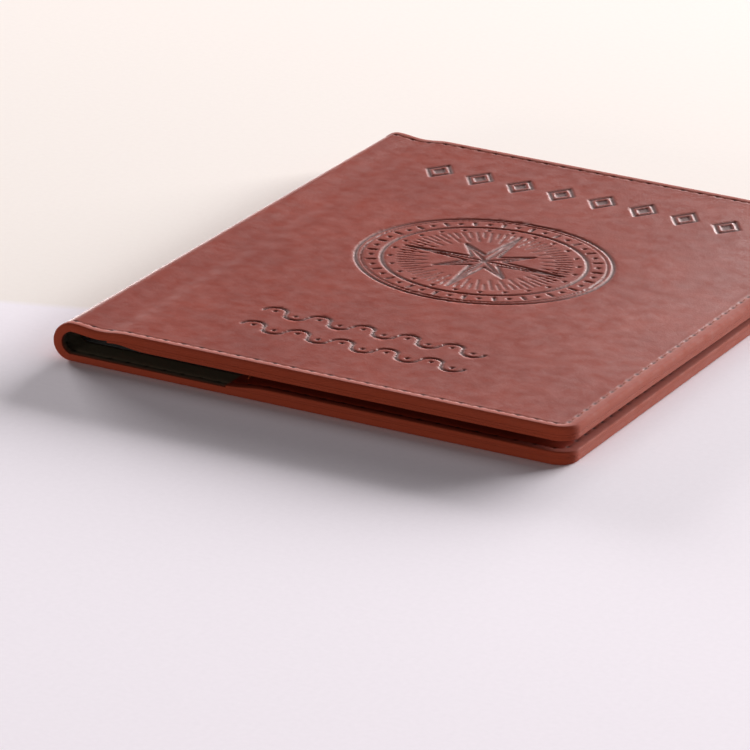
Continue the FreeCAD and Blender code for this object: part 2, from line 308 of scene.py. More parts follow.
def world(x, y, depth, side):
    """Frame coordinates in metres of a point of one cover."""
    if side == "front":
        z = THICK - depth - front_drop(x, y)
    else:
        z = depth
    return np.stack(np.broadcast_arrays(x, y, z), -1) * MM


def loop_world(angle, y, depth):
    """Point of the spine loop: 0 degrees at the rear cover, 180 at the front cover."""
    a = np.radians(angle)
    r = LOOP_R - depth
    x, z = LOOP_X - r * np.sin(a), LOOP_R - r * np.cos(a)
    return np.stack(np.broadcast_arrays(x, y, z), -1) * MM


# ==== Pressed decoration

def segment_distance(x, y, a, b):
    ax, ay, bx, by = *a, *b
    square = (bx - ax) ** 2 + (by - ay) ** 2
    t = np.clip(((x - ax) * (bx - ax) + (y - ay) * (by - ay)) / square, 0, 1)
    return np.hypot(x - ax - t * (bx - ax), y - ay - t * (by - ay))


def line(distance, half=LINE, soft=SOFT):
    """1 on a pressed line, falling softly to 0 beside it."""
    return 1 - smooth(half - soft / 2, half + soft / 2, distance)


def star_fold(x, y):
    """A point's radius, its angle within 90 and within 45 degrees, and its place folded there."""
    r = np.hypot(x, y)
    around = np.degrees(np.arctan2(x, y)) % 90
    folded = np.radians(np.minimum(around, 90 - around))
    return r, around, folded, r * np.sin(folded), r * np.cos(folded)


def star_corners():
    return [(r * math.sin(math.radians(a)), r * math.cos(math.radians(a))) for r, a in STAR]


def star_distance(x, y):
    """Distance to the star's outline."""
    u, v = star_fold(x, y)[3:]
    long_tip, notch, short_tip = star_corners()
    long_side = segment_distance(u, v, long_tip, notch)
    return np.minimum(long_side, segment_distance(u, v, notch, short_tip))


def star(x, y):
    """Compass star: outlined points, one half of each hatched."""
    r, around, folded, u, v = star_fold(x, y)
    long_tip, notch, short_tip = star_corners()
    edges = star_distance(x, y)
    middle = (0.0, 0.0)
    long_rib = segment_distance(u, v, middle, long_tip)
    ribs = np.minimum(long_rib, segment_distance(u, v, middle, short_tip))
    first = np.degrees(folded) < STAR[1][1]
    a = np.where(first, long_tip[0], short_tip[0])
    b = np.where(first, long_tip[1], short_tip[1])
    cross = (notch[0] - a) * (v - b) - (notch[1] - b) * (u - a)
    inside = np.where(first, cross < 0, cross > 0)
    clockwise = (around < 45) == first
    across = np.abs((r + HATCH_PITCH / 2) % HATCH_PITCH - HATCH_PITCH / 2)
    hatch = line(across, HATCH, FINE_SOFT) * (inside & clockwise)
    outline = line(edges, STAR_OUTLINE)
    return np.maximum.reduce([outline, line(ribs, STAR_RIB), FINE_PRESS * hatch])


def rays(x, y, r, around):
    """Fine rays round the star, every second one shorter, kept clear of its points."""
    step = 2 * math.pi / RAYS
    off = (around + step / 2) % step - step / 2
    short = np.round(around / step) % 2 != 0
    start = np.where(short, RAY_SHORT, RAY_START)
    reach = smooth(start, start + RAY_FADE, r)
    reach = reach * (1 - smooth(RAY_END - RAY_FADE, RAY_END, r))
    clear = smooth(*RAY_CLEAR, star_distance(x, y))
    return FINE_PRESS * line(np.abs(r * np.sin(off)), RAY, RAY_SOFT) * reach * clear


def emblem(x, y):
    y = y - EMBLEM_Y
    r = np.hypot(x, y)
    inner, outer = RINGS
    rings = np.maximum(line(np.abs(r - inner)), line(np.abs(r - outer)))
    fine = line(np.abs(r - outer + FINE_RING_INSET), FINE_RING, FINE_SOFT)
    step = 2 * math.pi / TICKS
    around = np.arctan2(y, x)
    off = (around + step / 2) % step - step / 2
    u, v = r * np.cos(off), r * np.sin(off)
    reach = smooth(inner + TICK_START[0], inner + TICK_START[1], u)
    reach = reach * (1 - smooth(outer - TICK_END[0], outer - TICK_END[1], u))
    ticks = line(np.abs(v)) * reach
    off = around % step - step / 2
    u, v = r * np.cos(off), r * np.sin(off)
    dots = line(np.hypot(u - (inner + outer) / 2 + DOT_INSET, v), DOT)
    small_dots = line(np.hypot(u - inner + SMALL_DOT_INSET, v), SMALL_DOT)
    figures = [rings, fine, ticks, dots, small_dots, rays(x, y, r, around), star(x, y)]
    return np.maximum.reduce(figures)


def diamonds(x, y):
    half_x, half_y = DIAMOND_HALF
    slope = half_x * half_y / math.hypot(half_x, half_y)
    place = np.clip(np.round(x / DIAMOND_PITCH - 0.5), -DIAMONDS / 2, DIAMONDS / 2 - 1)
    dx, dy = x - (place + 0.5) * DIAMOND_PITCH, y - DIAMOND_Y
    inward = (1 - np.abs(dx) / half_x - np.abs(dy) / half_y) * slope
    outer = line(np.abs(inward - DIAMOND_FRAME), DIAMOND_LINE)
    return np.maximum(outer, smooth(*DIAMOND_CORE, inward))


def waves(x, y):
    result = np.zeros_like(x)
    for row in WAVE_ROWS:
        place = np.clip(np.round(x / (2 * WAVE_RADIUS) - 0.5), -WAVES / 2, WAVES / 2 - 1)
        dx = x - (place + 0.5) * 2 * WAVE_RADIUS
        up = np.where((place + WAVES / 2) % 2 == 0, 1, -1)
        dy = (y - row) * up
        arc = np.where(dy >= 0, np.abs(np.hypot(dx, dy) - WAVE_RADIUS), NO_LINE)
        foot = np.hypot(np.abs(dx) - WAVE_RADIUS, dy)
        dot = line(np.hypot(dx, dy - WAVE_DOT_RISE), WAVE_DOT)
        result = np.maximum.reduce([result, line(np.minimum(arc, foot)), dot])
    return result


def pressed(x, y):
    return np.maximum.reduce([emblem(x, y), diamonds(x, y), waves(x, y)])


def decorated(x, y):
    """Where the pressed decoration needs a finer mesh."""
    in_emblem = np.hypot(x, y - EMBLEM_Y) < RINGS[1] + FINE_MARGIN
    half_row = DIAMONDS * DIAMOND_PITCH / 2 + FINE_MARGIN
    half_height = DIAMOND_HALF[1] + FINE_MARGIN
    in_row = (np.abs(x) < half_row) & (np.abs(y - DIAMOND_Y) < half_height)
    half_waves = WAVES * WAVE_RADIUS + FINE_MARGIN
    in_waves = np.zeros_like(in_emblem)
    for row in WAVE_ROWS:
        in_waves |= (np.abs(x) < half_waves) & (np.abs(y - row) < WAVE_RADIUS + FINE_MARGIN)
    return in_emblem | in_row | in_waves


# ==== Mesh builders

def finish_mesh(name, mesh, points, values, material, sharp=40):
    """Places a mesh's points, sets attributes and material; sharp is an angle in degrees."""
    mesh.vertices.foreach_set("co", np.ascontiguousarray(points, dtype=np.float32).ravel())
    for key, value in values.items():
        vector = value.ndim == 2
        layer = mesh.attributes.new(key, "FLOAT_VECTOR" if vector else "FLOAT", "POINT")
        flat = np.ascontiguousarray(value, dtype=np.float32).ravel()
        layer.data.foreach_set("vector" if vector else "value", flat)
    work = bmesh.new()
    work.from_mesh(mesh)
    bmesh.ops.recalc_face_normals(work, faces=work.faces)
    work.to_mesh(mesh)
    work.free()
    mesh.shade_smooth()
    mesh.set_sharp_from_angle(angle=math.radians(sharp))
    mesh.materials.append(material)
    obj = bpy.data.objects.new(name, mesh)
    bpy.context.scene.collection.objects.link(obj)
    return obj


def grid_fill(outline, inset, depth, every, first):
    """Grid inside a plate's rim, with the joiner of a rim sample and its first column."""
    columns = outline.low * SAMPLES // every
    rows = outline.side * SAMPLES // every
    xs = np.linspace(outline.start, outline.fore - inset, columns + 1)
    ys = np.linspace(inset - outline.half_y, outline.half_y - inset, rows + 1)
    x, y = np.meshgrid(xs, ys, indexing="ij")
    points = np.stack([x.ravel(), y.ravel(), np.full(x.size, depth)], 1)

    def at(column, row):
        return first + column * (rows + 1) + row

    def beside(k):
        """The grid's border point that rim sample k joins."""
        corner = outline.low * SAMPLES
        if k <= corner:
            return at(k // every, 0)
        k = max(k - corner - SAMPLES, 0)
        if k <= outline.side * SAMPLES:
            return at(columns, k // every)
        k = max(k - (outline.side + 1) * SAMPLES, 0)
        return at(columns - k // every, rows)

    faces = []
    for i in range(columns):
        for j in range(rows):
            faces.append((at(i, j), at(i + 1, j), at(i + 1, j + 1), at(i, j + 1)))
    column = [at(0, j) for j in range(rows + 1)]
    return points, faces, beside, column


def plate_mesh(name, outline, profile, every):
    """Closed plate in plan: profile is (s, depth) from one face's rim round to the other's.

    every says how many samples of the rim one cell of each face's grid spans.
    """
    count = (2 * outline.low + outline.side + 2) * SAMPLES + 1
    q = np.arange(count) / SAMPLES
    points, inset, faces = [], [], []
    for s, depth in profile:
        x, y = route(q, s, outline)
        points.append(np.stack([x, y, np.full(count, depth)], 1))
        inset.append(np.full(count, s))
    for i in range(len(profile) - 1):
        for k in range(i * count, i * count + count - 1):
            faces.append((k, k + 1, k + count + 1, k + count))
    start = count * len(profile)
    columns = []
    for ring, side_every in ((0, every[0]), (len(profile) - 1, every[1])):
        s, depth = profile[ring]
        grid_inset = max(s + GRID_GAP, outline.corner)
        grid, grid_faces, beside, column = grid_fill(outline, grid_inset, depth, side_every, start)
        columns.append(column)
        faces += grid_faces
        for k in range(0, count - 1, side_every):
            rim = [ring * count + k + i for i in range(side_every + 1)]
            inner = [beside(k + side_every), beside(k)]
            faces.append(rim + sorted(set(inner), key=inner.index))
        points.append(grid)
        edge = np.minimum(outline.fore - grid[:, 0], outline.half_y - np.abs(grid[:, 1]))
        inset.append(edge)
        start += len(grid)
    low_end = [i * count for i in range(len(profile))]
    high_end = [i * count + count - 1 for i in range(len(profile))]
    faces.append(low_end + columns[1] + high_end[::-1] + columns[0][::-1])
    mesh = bpy.data.meshes.new(name)
    mesh.from_pydata(np.concatenate(points).tolist(), [], faces)
    turns = np.tile(q, len(profile))
    turns = np.concatenate([turns, np.zeros(start - len(turns))])
    for key, value in (("turn", turns), ("inset", np.concatenate(inset))):
        layer = mesh.attributes.new(key, "FLOAT", "POINT")
        layer.data.foreach_set("value", value.astype(np.float32))
    return mesh


def merge(mesh, distance, fine=None):
    """Merges coinciding points, and splits the outer face's cells finer where fine says."""
    work = bmesh.new()
    work.from_mesh(mesh)
    bmesh.ops.remove_doubles(work, verts=work.verts, dist=distance)
    if fine:
        work.verts.ensure_lookup_table()
        co = np.array([v.co for v in work.verts])
        chosen = fine(co[:, 0], co[:, 1]) & (np.abs(co[:, 2]) < SAME)
        edges = [e for e in work.edges if chosen[e.verts[0].index] and chosen[e.verts[1].index]]
        bmesh.ops.subdivide_edges(work, edges=edges, cuts=FINE_CUTS, use_grid_fill=True)
    work.to_mesh(mesh)
    work.free()


def plan_arrays(mesh):
    """x, y, depth, q and s of a plan mesh's points."""
    count = len(mesh.vertices)
    co = np.empty(3 * count)
    mesh.vertices.foreach_get("co", co)
    x, y, depth = co.reshape(-1, 3).T
    found = []
    for key in ("turn", "inset"):
        value = np.empty(count)
        mesh.attributes[key].data.foreach_get("value", value)
        found.append(value)
        mesh.attributes.remove(mesh.attributes[key])
    return x, y, depth, found[0], found[1]


def grain_of(x, y, depth, shift=0.0):
    """Where a point lies on the flat leather, for its grain and colour."""
    return np.stack(np.broadcast_arrays(x + shift, y, depth), 1)


def surface(grain, s, hole, **more):
    """What the materials read at each point."""
    values = {"grain": grain, "hole": hole, "press": np.zeros_like(s)}
    values["edge"] = 1 - smooth(*EDGE_BAND, s)
    values["rim"] = 1 - smooth(*RIM_BAND, s)
    values.update(more)
    return values


def seam_relief(q, s):
    """Depth of the stitched groove with its holes, and how much a point is in a hole, which also sets
    the painted shade of the holes.
    """
    groove = GROOVE_DEPTH * np.exp(-(((s - SEAM) / GROOVE_WIDTH) ** 2))
    off = (q - np.round(q)) * PITCH
    hole = np.exp(-((off / HOLE_SIZE[0]) ** 2) - ((s - SEAM) / HOLE_SIZE[1]) ** 2)
    return groove + HOLE_DEPTH * hole, hole


def face_relief(x, y, s, q):
    """Depth of everything in a cover's outer face except the decoration."""
    stitched, hole = seam_relief(q, s)
    fade = smooth(*WAVER_EDGE, s) * smooth(LOOP_X, LOOP_X + WAVER_SPINE, x)
    a, b, c, d = WAVER_LENGTHS
    waver = WAVER * (1 + np.sin(x / a + 0.7 * np.sin(y / b)) * np.sin(y / c + x / d)) / 2
    return stitched + FIELD_DEPTH * smooth(*FIELD_BAND, s) + fade * waver, hole


def edge_curve(outer_round, inner_round, low, high):
    """Rounded edge of a plate as (s, depth), from depth low round to depth high."""
    points = []
    for angle in OUTER_ANGLES:
        a = math.radians(angle)
        points.append((outer_round * (1 - math.sin(a)), low + outer_round * (1 - math.cos(a))))
    for angle in INNER_ANGLES:
        a = math.radians(angle)
        points.append((inner_round * (1 - math.sin(a)), high - inner_round * (1 - math.cos(a))))
    return points


def skin_profile():
    """The outer leather's section: outer face, folded edge, hem, and back to its inner side."""
    face = [(s, 0.0) for s in FACE_INSETS]
    hem = [(s, SHELL) for s in HEM_INSETS]
    end = [(HEM - back, SHELL - down) for back, down in HEM_END]
    inner = [(HEM - GAP, LEATHER), (HEM + UNDER_HEM, LEATHER)]
    return face + edge_curve(EDGE_OUT, EDGE_IN, 0.0, SHELL) + hem + end + inner


def hem_relief(q, s, depth):
    """Bobbin side of the seam, on the hem's inner face: raises it towards the outer face."""
    stitched, hole = seam_relief(q, s)
    on_hem = depth > SHELL - EDGE_IN / 2
    return np.where(on_hem, -BOBBIN_SHARE * stitched, 0), np.where(on_hem, hole, 0)


def stain_share(s, depth):
    """Where the hem's inner face is tinted grey-green like lining cloth, a tint that also paints the
    shade inside the spine loop.
    """
    return smooth(*TINT_SHADE_BAND, s) * (depth > SHELL - FACE_GAP)


def cover_skin(side, material):
    """One cover's leather: outer face, folded edge and hem in one closed sheet."""
    name = side + "_cover_leather"
    mesh = plate_mesh(name, COVER, skin_profile(), (2, 8))
    merge(mesh, SAME, decorated if side == "front" else None)
    x, y, depth, q, s = plan_arrays(mesh)
    outer = depth < EDGE_OUT
    relief, hole = face_relief(x, y, s, q)
    on_hem, hem_hole = hem_relief(q, s, depth)
    share = np.where(outer, 1 - depth / EDGE_OUT, 0)
    press = pressed(x, y) * (depth < SAME) if side == "front" else np.zeros_like(x)
    place = world(x, y, depth + share * relief + on_hem + PRESS_DEPTH * press, side)
    pocket = PANEL if side == "front" else SLEEVE
    grain = grain_of(x, y, depth, 0.0 if side == "front" else REAR_GRAIN)
    hole = np.where(outer, hole, hem_hole * (x < pocket.start))
    # painted shade: the hem beside the spine, where no pocket covers it, is tinted grey-green
    stain = stain_share(s, depth) * (1 - smooth(-1, 0, x - pocket.start))
    values = surface(grain, s, hole, press=press, stain=stain)
    obj = finish_mesh(name, mesh, place, values, material)
    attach(obj, side + "_cover")
    return obj


def loop_section():
    """The same section across the spine loop, from one end of the loop to the other and back."""
    profile = skin_profile()
    low = [(s - HALF_Y, depth, s) for s, depth in profile]
    high = [(HALF_Y - s, depth, s) for s, depth in profile][::-1]
    back_half, face_half = HALF_Y - profile[-1][0] - GRID_GAP, HALF_Y - CORNER
    back_ys = np.linspace(-back_half, back_half, BACK_POINTS)
    back = [(y, LEATHER, HALF_Y - abs(y)) for y in back_ys]
    cells = COVER.side * SAMPLES // 2
    face = [(y, 0.0, HALF_Y - abs(y)) for y in np.linspace(face_half, -face_half, cells + 1)]
    return low + back + high + face


def tube_faces(first, count, rings):
    """Faces over rings of count points each, from point number first, with flat ends."""
    faces = []
    for row in range(first, first + (rings - 1) * count, count):
        for k in range(count):
            n = (k + 1) % count
            faces.append((row + k, row + n, row + count + n, row + count + k))
    last = first + (rings - 1) * count
    ends = [list(range(first, first + count))[::-1], list(range(last, last + count))]
    return faces + ends


def loft(name, count, rings):
    """Closed skin over rings of points, which are placed later."""
    mesh = bpy.data.meshes.new(name)
    mesh.from_pydata([(0, 0, 0)] * (count * rings), [], tube_faces(0, count, rings))
    return mesh


def loop_arc(name, part, section, relief, material):
    """One 45 degree length of the loop, from the rear cover's side."""
    y, depth, s = (np.array(column) for column in zip(*section))
    angles = np.linspace(part * FOLD_STEP, (part + 1) * FOLD_STEP, ARC_SECTIONS + 1)
    mesh = loft(name, len(section), len(angles))
    angle, y = np.meshgrid(angles, y, indexing="ij")
    depth, s = np.broadcast_to(depth, y.shape), np.broadcast_to(s, y.shape)
    q = angle / 180 * LOOP_STITCHES
    angle, y, depth, s, q = (value.ravel() for value in (angle, y, depth, s, q))
    change, hole = np.zeros_like(s), np.zeros_like(s)
    if relief:
        change, hole = relief(q, s, depth)
    grain = grain_of(LOOP_X - np.radians(angle) * LOOP_R, y, depth)
    # painted shade: the hem inside the spine loop is tinted grey-green
    values = surface(grain, s, hole, stain=stain_share(s, depth))
    return finish_mesh(name, mesh, loop_world(angle, y, depth + change), values, material)


def leather_loop_relief(q, s, depth):
    outer = depth < EDGE_OUT
    change, hole = face_relief(np.full_like(s, LOOP_X), np.zeros_like(s), s, q)
    on_hem, hem_hole = hem_relief(q, s, depth)
    change = np.where(outer, (1 - depth / EDGE_OUT) * change, 0) + on_hem
    bead = LOOP_BEAD * np.sin(math.pi * q / LOOP_STITCHES) ** LOOP_BEAD_SHAPE
    bead = bead * (1 - smooth(*LOOP_BEAD_BAND, s)) * smooth(EDGE_OUT, SHELL, depth)
    return change + bead, np.where(outer, hole, hem_hole)


def lining_section():
    half = HALF_Y - HEM
    ys = np.linspace(-half, half, LINING_POINTS)
    low = [(y, SHELL, HALF_Y - abs(y)) for y in ys]
    high = [(y, LEATHER + GAP, HALF_Y - abs(y)) for y in ys[::-1]]
    return low + high


def blend_loop(obj, first, last):
    """Bakes an arc's placement into its mesh; its loop points at first and last are worked out but not
    used.
    """
    start, end = (tuple(loop_world(angle, 0.0, SHELL).tolist()) for angle in (first, last))
    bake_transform(obj)


def spine_loop(leather, lining):
    """The loop's leather and lining, each in four lengths."""
    kinds = (
        ("spine_loop_leather_", loop_section(), leather_loop_relief, leather, "spine_leather_"),
        ("spine_loop_lining_", lining_section(), None, lining, "spine_lining_"),
    )
    for name, section, relief, material, node in kinds:
        for part in range(FOLDS):
            obj = loop_arc(name + str(part + 1), part, section, relief, material)
            blend_loop(obj, part * FOLD_STEP, (part + 1) * FOLD_STEP)
            if part < FOLDS - 1:
                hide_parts(node + str(part + 1))


def flat_piece(name, side, outline, profile, material, slot, nodes, relief=None, every=(4, 8)):
    """A plate on one cover. relief(x, y, s, q, depth) may lower its points further inwards."""
    mesh = plate_mesh(name, outline, profile, every)
    merge(mesh, SAME)
    x, y, depth, q, s = plan_arrays(mesh)
    hole = np.zeros_like(x)
    if relief:
        change, hole = relief(x, y, s, q, depth)
        depth = depth + change
    values = surface(grain_of(x, y, depth, GRAIN_PER_LETTER * len(name)), s, hole)
    obj = finish_mesh(name, mesh, world(x, y, depth, side), values, material)
    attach(obj, side + "_cover")
    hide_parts(*nodes)
    return obj


def depths(node, side):
    """Depths of a flat CAD node's two faces below its cover's outer face."""
    low, high = box_mm(node)
    if side == "front":
        return THICK - high[2], THICK - low[2]
    return low[2], high[2]


def thin_profile(inset, low, high, rounding, grid_s):
    """Section of a thin flat sheet whose edge lies inset from the outline's edge."""
    rounding = min(rounding, (high - low) / NEARLY_TWO)
    edge = [(inset + s, depth) for s, depth in edge_curve(rounding, rounding, low, high)]
    return [(grid_s, low)] + edge + [(grid_s, high)]


def sheet_profile(low, high):
    """Section of a sheet that ends just inside the hem."""
    return thin_profile(HEM + GAP, low, high, SHEET_ROUND, HEM + SHEET_RIM)


def pocket_profile(low, high):
    """Section of a pocket's leather, finely divided along its line of stitches."""
    under = [(s, low) for s in POCKET_UNDER]
    edge = edge_curve(*POCKET_ROUND, low, high)
    inner = [(s, high) for s in HEM_INSETS if s < POCKET_UNDER[0]]
    return under + edge + inner + [(POCKET_GRID, high)]


def pocket_relief(outline, low, high, mouth_seam):
    """Groove of a pocket's seam on its inner face, and of the seam along its mouth."""
    def relief(x, y, s, q, depth):
        stitched, hole = seam_relief(q, s)
        face = depth > (low + high) / 2
        change = np.where(face, -stitched, 0)
        if mouth_seam:
            across = x - outline.start
            groove = MOUTH_GROOVE * np.exp(-(((across - SEAM) / MOUTH_GROOVE_WIDTH) ** 2))
            change = change - np.where(face, groove * smooth(*MOUTH_GROOVE_BAND, s), 0)
        roll = MOUTH_ROLL * (1 - smooth(0, MOUTH_ROLL_WIDTH, x - outline.start))
        roll = roll * smooth(*MOUTH_ROLL_BAND, s)
        change = change + np.where(face, -roll, 0)
        return skived(x, depth + change, outline) - depth, np.where(face, hole, 0)
    return relief


def slot_relief(mouth):
    """A card slot's mouth stands a little off what it lies on."""
    def relief(x, y, s, q, depth):
        lift = SLOT_LIFT * (1 - smooth(0, SLOT_LIFT_RUN, x - mouth)) * smooth(*SLOT_LIFT_BAND, s)
        return lift, np.zeros_like(x)
    return relief


def skived(x, depth, outline):
    """Depth in a pocket or its strips, whose leather thins towards the free edge."""
    full = smooth(0, SKIVE, x - outline.start)
    return SHELL + (depth - SHELL) * (SKIVED + (1 - SKIVED) * full)


def strip_sweep(name, side, outline, low, high, material, nodes):
    """U-shaped strip under a pocket's seam, its ends at the pocket's free edge."""
    across = (STRIP_WIDTH, STRIP_MIDDLE, STRIP_ROUND)
    ring = [(s, low) for s in across]
    ring += [(0.0, low + STRIP_CORNER), (0.0, (low + high) / 2), (0.0, high - STRIP_CORNER)]
    ring += [(s, high) for s in across[::-1]]
    count = (2 * outline.low + outline.side + 2) * SAMPLES + 1
    mesh = loft(name, len(ring), count)
    s, depth = (np.array(column) for column in zip(*ring))
    q, s = np.meshgrid(np.arange(count) / SAMPLES, s, indexing="ij")
    depth = np.broadcast_to(depth, q.shape).ravel()
    x, y = route(q, s, outline)
    x, y, s = x.ravel(), y.ravel(), s.ravel()
    depth = skived(x, depth, outline)
    values = surface(grain_of(x, y, depth, STRIP_GRAIN), s, np.zeros_like(x))
    obj = finish_mesh(name, mesh, world(x, y, depth, side), values, material)
    merge(obj.data, SAME * MM)
    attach(obj, side + "_cover")
    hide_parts(*nodes)
    return obj


# ==== Stitches

def stitch_rows(name, rows, material):
    """Tubes for single stitches. Each row is (place, stitches, centre s, depth, sign)."""
    along, around = STITCH_MESH
    t = np.linspace(0, 1, along)
    phi = np.arange(around) * 2 * math.pi / around
    points, faces, grain = [], [], []
    for place, numbers, centre, face, inward in rows:
        for i in numbers:
            swell = np.sin(math.pi * t) ** STITCH_SWELL
            girth = (STITCH_END + (1 - STITCH_END) * swell)[:, None]
            q = (i + STITCH_START + STITCH_RUN * t)[:, None]
            s = centre + STITCH_SLANT * (2 * t[:, None] - 1)
            s = s + STITCH_HALF_WIDTH * girth * np.cos(phi)
            sunk = STITCH_SINK - STITCH_RISE * swell[:, None]
            depth = face + inward * (sunk - STITCH_HALF_HEIGHT * girth * np.sin(phi))
            q = np.broadcast_to(q, s.shape)
            first = sum(len(p) for p in points)
            points.append(place(q, s, depth).reshape(-1, 3))
            spot = np.stack(np.broadcast_arrays((i + t[:, None]) * PITCH, phi, centre), -1)
            grain.append(spot.reshape(-1, 3))
            faces += tube_faces(first, around, along)
    points = np.concatenate(points)
    mesh = bpy.data.meshes.new(name)
    mesh.from_pydata(points.tolist(), [], faces)
    obj = finish_mesh(name, mesh, points, {"grain": np.concatenate(grain)}, material, sharp=75)
    return obj


def sew(name, rows, material, body, node):
    obj = stitch_rows(name, rows, material)
    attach(obj, body)
    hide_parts(node)


def on_cover(side, outline, thinned=False):
    def place(q, s, depth):
        x, y = route(q, s, outline)
        return world(x, y, skived(x, depth, outline) if thinned else depth, side)
    return place


def on_loop(end):
    def place(q, s, depth):
        return loop_world(q * 180 / LOOP_STITCHES, end * (HALF_Y - s), depth)
    return place


def on_line(side, x, y, step, across):
    """Straight row: from (x, y) by step each stitch, s measured along across."""
    def place(q, s, depth):
        px = x + q * step[0] + s * across[0]
        py = y + q * step[1] + s * across[1]
        return world(px, py, depth, side)
    return place


def cover_stitches(side, pocket, pocket_depth, material):
    """Needle thread on a cover's outer face and bobbin thread inside."""
    total = 2 * COVER.low + COVER.side + 2
    needle = [(on_cover(side, COVER), range(total), SEAM, 0.0, 1)]
    body = side + "_cover"
    sew(side + "_needle_stitches", needle, material, body, side + "_seam_thread")
    inner_total = 2 * pocket.low + pocket.side + 2
    free = int((pocket.start - LOOP_X) / PITCH)
    bobbin = [
        (on_cover(side, pocket, True), range(inner_total), SEAM, pocket_depth, -1),
        (on_cover(side, COVER), range(free), SEAM, SHELL, -1),
        (on_cover(side, COVER), range(total - free, total), SEAM, SHELL, -1),
    ]
    sew(side + "_bobbin_stitches", bobbin, material, body, side + "_bobbin_thread")


def loop_stitches(material):
    """Stitches over the loop: the middle ones ride on the second spine strip, the outer two are not
    attached to a body.
    """
    for i in range(LOOP_STITCHES):
        rows = []
        for end in (-1, 1):
            rows.append((on_loop(end), [i], SEAM, 0.0, 1))
            rows.append((on_loop(end), [i], SEAM, SHELL, -1))
        obj = stitch_rows("spine_stitches_" + str(i + 1), rows, material)
        if i == 0:
            blend_loop(obj, 0, FOLD_STEP)
        elif i == LOOP_STITCHES - 1:
            blend_loop(obj, 180 - FOLD_STEP, 180)
        else:
            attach(obj, LOOP_BODIES[2])
        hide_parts("spine_threads_" + str(i + 1))


def mouth_stitches(material):
    """Row along the passport sleeve's mouth."""
    half = HALF_Y - 2 * SEAM
    count = stitches_for(2 * half)
    pitch = 2 * half / count
    place = on_line("rear", SLEEVE.start, -half, (0, pitch), (1, 0))
    top = depths("passport_sleeve", "rear")[1]
    rows = [(place, range(count), SEAM, top - MOUTH_STITCH_SINK, -1)]
    sew("sleeve_mouth_stitches", rows, material, "rear_cover", "sleeve_mouth_thread")


def slot_stitches(material):
    """Rows along the card slots' sides and across the outer slot's closed end."""
    mouths = [box_mm("card_slot_" + name)[0][0] for name in SLOTS]
    high = box_mm("card_slot_outer")[1]
    half = high[1] - SLOT_BORDER
    rows = []
    for i, name in enumerate(SLOTS):
        face = depths("card_slot_" + name, "front")[1] - SLOT_STITCH_SINK
        stop = mouths[i + 1] if i + 1 < len(SLOTS) else high[0] - SLOT_BORDER
        count = max(1, round((stop - mouths[i] - SLOT_SEAM_START) / SLOT_PITCH))
        pitch = (stop - mouths[i] - SLOT_SEAM_START) / count
        for end in (-1, 1):
            place = on_line("front", mouths[i] + SLOT_SEAM_START, end * half, (pitch, 0), (0, 1))
            rows.append((place, range(count), 0.0, face, -1))
    count = round(2 * half / SLOT_PITCH)
    place = on_line("front", high[0] - SLOT_BORDER, -half, (0, 2 * half / count), (1, 0))
    rows.append((place, range(count), 0.0, face, -1))
    sew("card_slot_stitches", rows, material, "front_cover", "card_slot_threads")


# ==== Materials

class Nodes:
    """Short way to add and link shader nodes."""

    def __init__(self, name):
        self.material = bpy.data.materials.new(name)
        self.material.use_nodes = True
        self.tree = self.material.node_tree
        self.shader = self.tree.nodes["Principled BSDF"]

    def add(self, kind, links=None, **settings):
        node = self.tree.nodes.new("ShaderNode" + kind)
        for key, value in settings.items():
            setattr(node, key, value)
        for key, value in (links or {}).items():
            self.put(node, key, value)
        return node

    def put(self, node, key, value):
        socket = node.inputs[key]
        if isinstance(value, bpy.types.NodeSocket):
            self.tree.links.new(value, socket)
        else:
            socket.default_value = value

    def finish(self, inputs):
        for key, value in inputs.items():
            self.put(self.shader, key, value)
        return self.material

    def attribute(self, name, output="Fac"):
        return self.add("Attribute", attribute_name=name).outputs[output]

    def noise(self, vector, scale, detail=3.0, roughness=0.5):
        links = {"Vector": vector, "Scale": scale, "Detail": detail, "Roughness": roughness}
        return self.add("TexNoise", links).outputs["Fac"]

    def spread(self, value, low, high, to_low=0.0, to_high=1.0):
        links = {"Value": value, "From Min": low, "From Max": high, "To Min": to_low, "To Max": to_high}
        return self.add("MapRange", links).outputs["Result"]

    def mix(self, factor, a, b):
        node = self.add("Mix", data_type="RGBA")
        self.put(node, 0, factor)
        self.put(node, 6, a)
        self.put(node, 7, b)
        return node.outputs[2]

    def math(self, operation, a, b):
        node = self.add("Math", operation=operation)
        self.put(node, 0, a)
        self.put(node, 1, b)
        return node.outputs[0]

    def bump(self, height, strength, distance, under=None):
        links = {"Height": height, "Strength": strength, "Distance": distance}
        if under is not None:
            links["Normal"] = under
        return self.add("Bump", links).outputs["Normal"]


def rgb(red, green, blue):
    """Linear colour from a screen colour of 0 to 255."""
    parts = [value / 255 for value in (red, green, blue)]
    return [p / 12.92 if p <= 0.04045 else ((p + 0.055) / 1.055) ** 2.4 for p in parts] + [1.0]


# Colours of the leather: its two cloud colours, then what is laid over them
CLOUD_DARK = rgb(134, 42, 24)
CLOUD_LIGHT = rgb(150, 52, 30)
BLOTCH = rgb(106, 34, 22)
FLECK = rgb(150, 72, 52)
WORN_EDGE = rgb(158, 62, 34)
RIM = rgb(124, 47, 24)
# pressed lines: heat-darkened leather together with painted shade of the recess
PRESSED_DARK_AND_SHADE = rgb(72, 17, 11)
# grey-green tint of the hem inside, partly painted shade
GREY_TINT_AND_SHADE = rgb(104, 96, 80)
# painted shade: the dark inside of a stitch hole
HOLE_SHADE = rgb(26, 7, 5)

# Added to the roughness in pressed lines, along edges and in stitch holes
ROUGHER = (("press", 0.25), ("edge", 0.48), ("hole", 0.5))

WEAVE = 0.42  # two threads of the lining's weave


